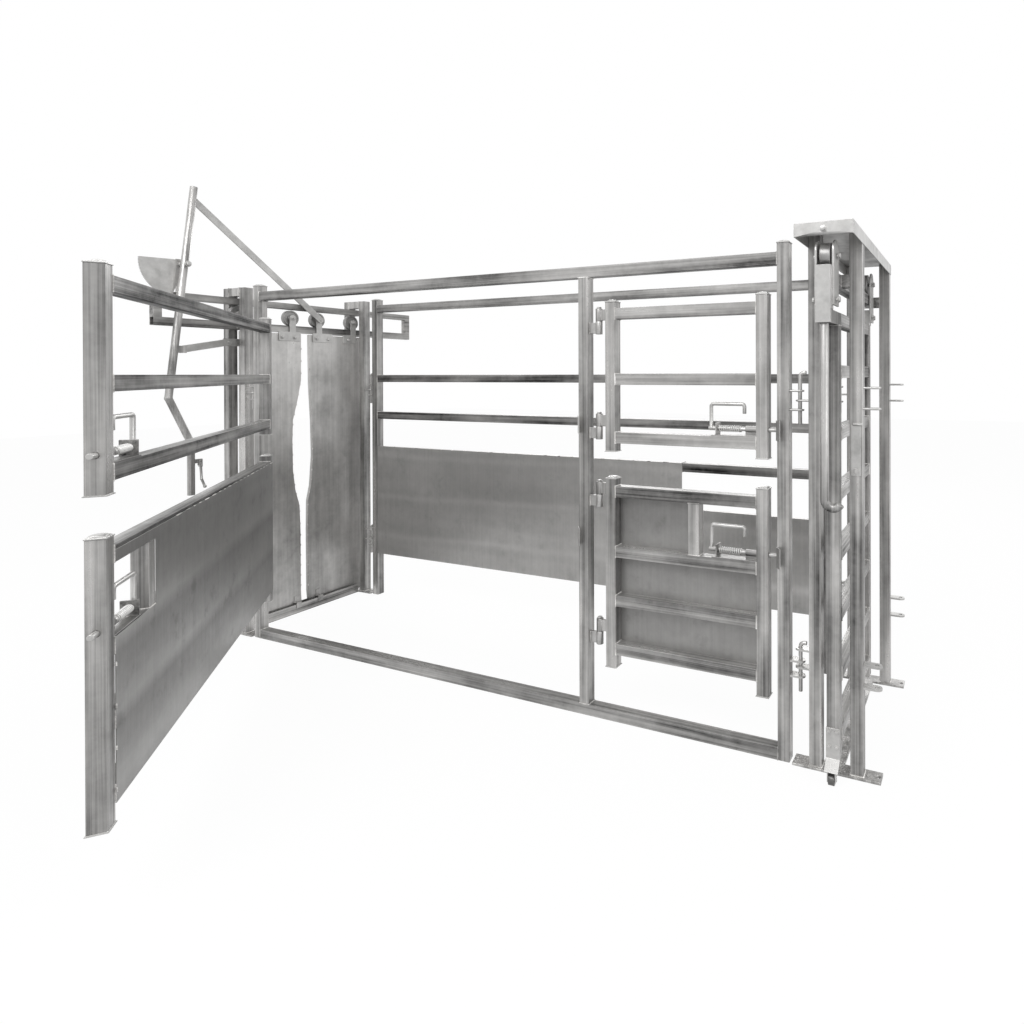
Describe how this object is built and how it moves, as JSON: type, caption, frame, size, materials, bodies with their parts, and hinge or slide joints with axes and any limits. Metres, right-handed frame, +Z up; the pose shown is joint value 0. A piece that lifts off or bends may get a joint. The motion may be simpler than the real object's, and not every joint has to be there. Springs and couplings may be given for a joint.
{
  "type": "cattle crush",
  "caption": "Standing cattle crush of galvanised box tube with lever-worked sliding head gate, latched swinging side gates and a rear slide gate",
  "frame": {"origin": "on the floor, in the middle of the four anchor holes under the head gate's uprights", "axes": "+X runs along the stall from the head gate to the rear slide gate, +Y across it away from the side with the swinging gates, +Z up"},
  "size_m": [4.0109, 2.7983, 2.6413],
  "materials": {
    "galvanised_tube": "hot-dip galvanised, brushed and satin",
    "galvanised_sheet": "galvanised sheet, satin with soft mottling",
    "bright_steel": "zinc-plated hardware, slightly worn",
    "dark_steel": "turned steel, oiled"
  },
  "bodies": {
    "frame": {"near_posts": "galvanised_tube", "near_rails": "galvanised_tube", "far_posts": "galvanised_tube", "far_rails": "galvanised_tube", "far_sheet": "galvanised_sheet", "post_caps": "bright_steel", "head_uprights": "galvanised_tube", "head_track": "galvanised_tube", "floor_channel": "galvanised_tube", "base_plates": "galvanised_tube", "lever_support": "galvanised_tube", "toothed_sector": "bright_steel", "joining_lugs": "bright_steel", "joining_pins": "bright_steel", "rear_uprights": "galvanised_tube", "rear_cap": "galvanised_tube", "rear_track": "galvanised_tube", "hinge_straps": "bright_steel", "hinge_pins": "bright_steel", "keepers": "bright_steel"},
    "catch": {"gate_catch": "bright_steel"},
    "long_upper_leaf": {"long_upper_gate": "galvanised_tube", "long_upper_caps": "bright_steel", "long_upper_spring": "bright_steel"},
    "long_upper_latch": {"long_upper_bolt": "bright_steel"},
    "long_lower_leaf": {"long_lower_gate": "galvanised_tube", "long_lower_caps": "bright_steel", "long_lower_spring": "bright_steel", "long_lower_sheet": "galvanised_sheet"},
    "long_lower_latch": {"long_lower_bolt": "bright_steel"},
    "short_upper_leaf": {"short_upper_gate": "galvanised_tube", "short_upper_caps": "bright_steel", "short_upper_spring": "bright_steel"},
    "short_upper_latch": {"short_upper_bolt": "bright_steel"},
    "short_lower_leaf": {"short_lower_gate": "galvanised_tube", "short_lower_caps": "bright_steel", "short_lower_spring": "bright_steel", "short_lower_sheet": "galvanised_sheet"},
    "short_lower_latch": {"short_lower_bolt": "bright_steel"},
    "lever": {"head_lever": "galvanised_tube"},
    "squeeze_trigger": {"trigger": "bright_steel"},
    "lever_pawl": {"pawl": "bright_steel"},
    "near_link": {"short_link": "galvanised_tube"},
    "far_link": {"long_link": "galvanised_tube"},
    "near_plate": {"near_yoke": "galvanised_sheet", "near_hangers": "bright_steel"},
    "far_plate": {"far_yoke": "galvanised_sheet", "far_hangers": "bright_steel"},
    "roller_1": {"near_inner_roller": "dark_steel"},
    "roller_2": {"near_outer_roller": "dark_steel"},
    "roller_3": {"far_inner_roller": "dark_steel"},
    "roller_4": {"far_outer_roller": "dark_steel"},
    "rear_gate": {"slide_gate": "galvanised_tube", "slide_hangers": "bright_steel", "pull_handle": "galvanised_tube", "foot_bracket": "bright_steel"},
    "rear_wheel_1": {"slide_near_wheel": "dark_steel"},
    "rear_wheel_2": {"slide_far_wheel": "dark_steel"},
    "rear_wheel_3": {"floor_wheel": "dark_steel"}
  },
  "joints": [
    {"name": "long_upper_swing", "type": "hinge", "parent": "frame", "child": "long_upper_leaf", "pos_m": [0.277, -0.408, 1], "axis": [0, 0, 1], "range_deg": [-46, 44]},
    {"name": "short_upper_swing", "type": "hinge", "parent": "frame", "child": "short_upper_leaf", "pos_m": [2.578, -0.408, 1], "axis": [0, 0, 1], "range_deg": [-90, 0]},
    {"name": "long_lower_swing", "type": "hinge", "parent": "frame", "child": "long_lower_leaf", "pos_m": [0.277, -0.408, 1], "axis": [0, 0, 1], "range_deg": [-46, 44]},
    {"name": "short_lower_swing", "type": "hinge", "parent": "frame", "child": "short_lower_leaf", "pos_m": [2.578, -0.408, 1], "axis": [0, 0, 1], "range_deg": [-90, 0]},
    {"name": "long_upper_bolt_slide", "type": "slide", "parent": "long_upper_leaf", "child": "long_upper_latch", "axis": [0.7193, -0.6947, 0], "range_m": [-0.025, 0.018], "stiffness_N_per_m": 900, "deforming": ["long_upper_spring"]},
    {"name": "long_lower_bolt_slide", "type": "slide", "parent": "long_lower_leaf", "child": "long_lower_latch", "axis": [0.7193, -0.6947, 0], "range_m": [-0.025, 0.018], "stiffness_N_per_m": 900, "deforming": ["long_lower_spring"]},
    {"name": "short_upper_bolt_slide", "type": "slide", "parent": "short_upper_leaf", "child": "short_upper_latch", "axis": [1, 0, 0], "range_m": [-0.025, 0.018], "stiffness_N_per_m": 900, "deforming": ["short_upper_spring"]},
    {"name": "short_lower_bolt_slide", "type": "slide", "parent": "short_lower_leaf", "child": "short_lower_latch", "axis": [1, 0, 0], "range_m": [-0.025, 0.018], "stiffness_N_per_m": 900, "deforming": ["short_lower_spring"]},
    {"name": "head_lever_swing", "type": "hinge", "parent": "frame", "child": "lever", "pos_m": [0.071, -0.734, 2.194], "axis": [-1, 0, 0], "range_deg": [0, 45]},
    {"name": "near_plate_slide", "type": "slide", "parent": "frame", "child": "near_plate", "axis": [0, -1, 0], "range_m": [0, 0.35]},
    {"name": "far_plate_slide", "type": "slide", "parent": "frame", "child": "far_plate", "axis": [0, 1, 0], "range_m": [0, 0.353]},
    {"name": "near_link_turn", "type": "hinge", "parent": "near_plate", "child": "near_link", "pos_m": [0.042, -0.49, 1.767], "axis": [-1, 0, 0], "range_deg": [0, 34]},
    {"name": "far_link_turn", "type": "hinge", "parent": "far_plate", "child": "far_link", "pos_m": [0.042, 0.096, 1.943], "axis": [1, 0, 0], "range_deg": [0, 11]},
    {"name": "trigger_squeeze", "type": "hinge", "parent": "lever", "child": "squeeze_trigger", "pos_m": [0.071, -0.661, 1.08], "axis": [-1, 0, 0], "range_deg": [0, 14], "stiffness_Nm_per_rad": 3},
    {"name": "pawl_lift", "type": "hinge", "parent": "lever", "child": "lever_pawl", "pos_m": [0.033, -0.7597, 1.9574], "axis": [1, 0, 0], "range_deg": [0, 14]},
    {"name": "rear_gate_slide", "type": "slide", "parent": "frame", "child": "rear_gate", "axis": [0, -1, 0], "range_m": [0, 0.62]},
    {"name": "catch_swing", "type": "hinge", "parent": "frame", "child": "catch", "pos_m": [3.751, -0.436, 1.194], "axis": [0, 1, 0], "range_deg": [0, 90]},
    {"name": "roller_1_spin", "type": "hinge", "parent": "near_plate", "child": "roller_1", "pos_m": [0, -0.088, 1.943], "axis": [1, 0, 0], "range_deg": [0, 405]},
    {"name": "roller_2_spin", "type": "hinge", "parent": "near_plate", "child": "roller_2", "pos_m": [0, -0.413, 1.943], "axis": [1, 0, 0], "range_deg": [0, 405]},
    {"name": "roller_3_spin", "type": "hinge", "parent": "far_plate", "child": "roller_3", "pos_m": [0, 0.096, 1.943], "axis": [-1, 0, 0], "range_deg": [0, 405]},
    {"name": "roller_4_spin", "type": "hinge", "parent": "far_plate", "child": "roller_4", "pos_m": [0, 0.355, 1.943], "axis": [-1, 0, 0], "range_deg": [0, 405]},
    {"name": "rear_wheel_1_spin", "type": "hinge", "parent": "rear_gate", "child": "rear_wheel_1", "pos_m": [3.6695, -0.568, 2.005], "axis": [1, 0, 0], "range_deg": [0, 712]},
    {"name": "rear_wheel_2_spin", "type": "hinge", "parent": "rear_gate", "child": "rear_wheel_2", "pos_m": [3.6695, 0.282, 2.005], "axis": [1, 0, 0], "range_deg": [0, 712]},
    {"name": "rear_wheel_3_spin", "type": "hinge", "parent": "rear_gate", "child": "rear_wheel_3", "pos_m": [3.6695, -0.505, 0.021], "axis": [1, 0, 0], "range_deg": [0, 1694]}
  ],
  "couplings": [
    {"joint": "near_plate_slide", "follows": "head_lever_swing", "m_per_rad": 0.44423},
    {"joint": "far_plate_slide", "follows": "head_lever_swing", "m_per_rad": 0.44793},
    {"joint": "near_link_turn", "follows": "head_lever_swing", "ratio": 0.73378},
    {"joint": "far_link_turn", "follows": "head_lever_swing", "ratio": 0.23756},
    {"joint": "pawl_lift", "follows": "trigger_squeeze", "ratio": 1},
    {"joint": "roller_1_spin", "follows": "head_lever_swing", "ratio": 8.9127},
    {"joint": "roller_2_spin", "follows": "head_lever_swing", "ratio": 8.9127},
    {"joint": "roller_3_spin", "follows": "head_lever_swing", "ratio": 8.9127},
    {"joint": "roller_4_spin", "follows": "head_lever_swing", "ratio": 8.9127},
    {"joint": "rear_wheel_1_spin", "follows": "rear_gate_slide", "rad_per_m": 20},
    {"joint": "rear_wheel_2_spin", "follows": "rear_gate_slide", "rad_per_m": 20},
    {"joint": "rear_wheel_3_spin", "follows": "rear_gate_slide", "rad_per_m": 47.619}
  ]
}
